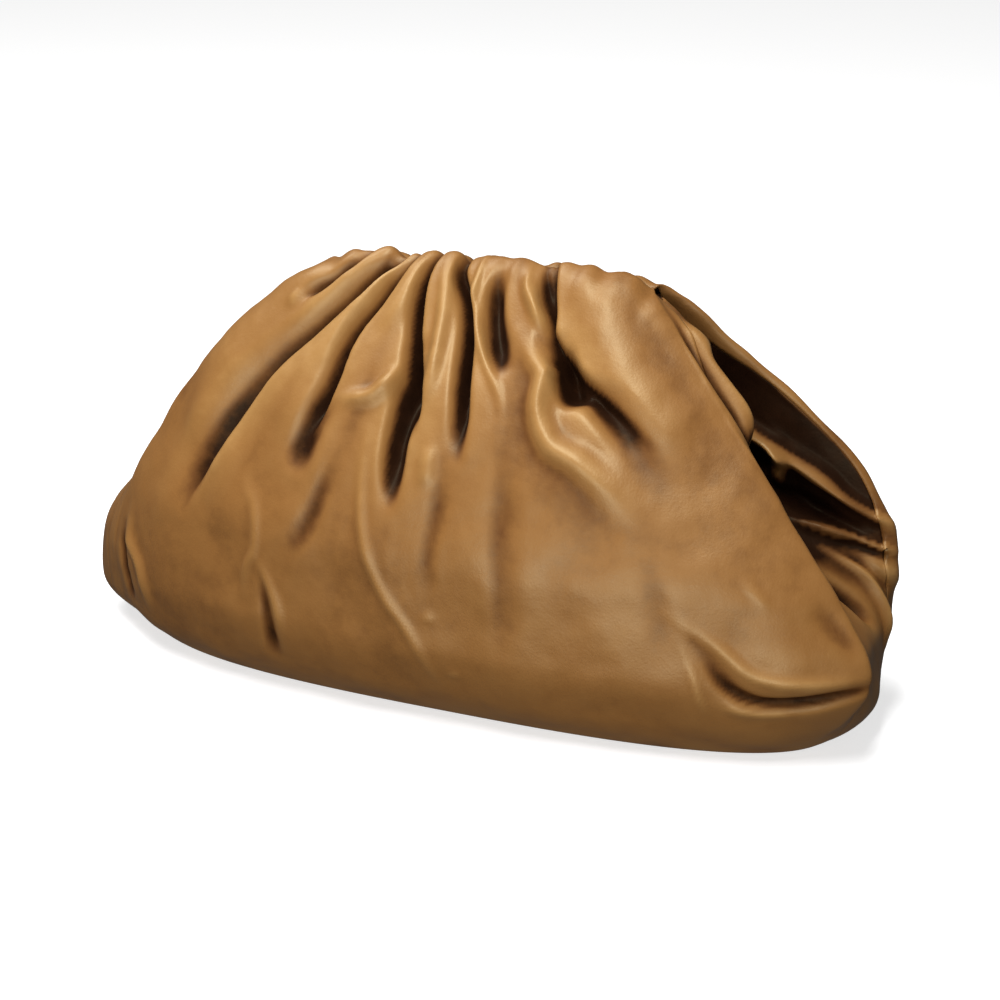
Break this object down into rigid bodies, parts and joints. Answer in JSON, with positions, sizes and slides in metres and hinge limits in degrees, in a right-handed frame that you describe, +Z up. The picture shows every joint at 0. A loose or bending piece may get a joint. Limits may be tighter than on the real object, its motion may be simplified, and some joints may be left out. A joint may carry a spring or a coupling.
{
  "type": "gathered pouch clutch bag",
  "caption": "Oversize soft leather pouch bag: gathered mouth on a hidden frame, tucked gusset ends, full rounded body, flat oval base.",
  "frame": {"origin": "middle of the flat base, on the surface that the bag rests on", "axes": "+X along the bag, to the right seen from the front; -Y is the front face; +Z up to the mouth"},
  "size_m": [0.4124, 0.1726, 0.2043],
  "materials": {
    "leather": "soft smooth tan leather with a satin gloss",
    "frame_metal": "satin"
  },
  "bodies": {
    "root": {"front_panel": "leather", "back_panel": "leather", "gusset_right": "leather", "gusset_left": "leather", "base_panel": "leather", "closure_frame": "frame_metal"}
  },
  "joints": []
}
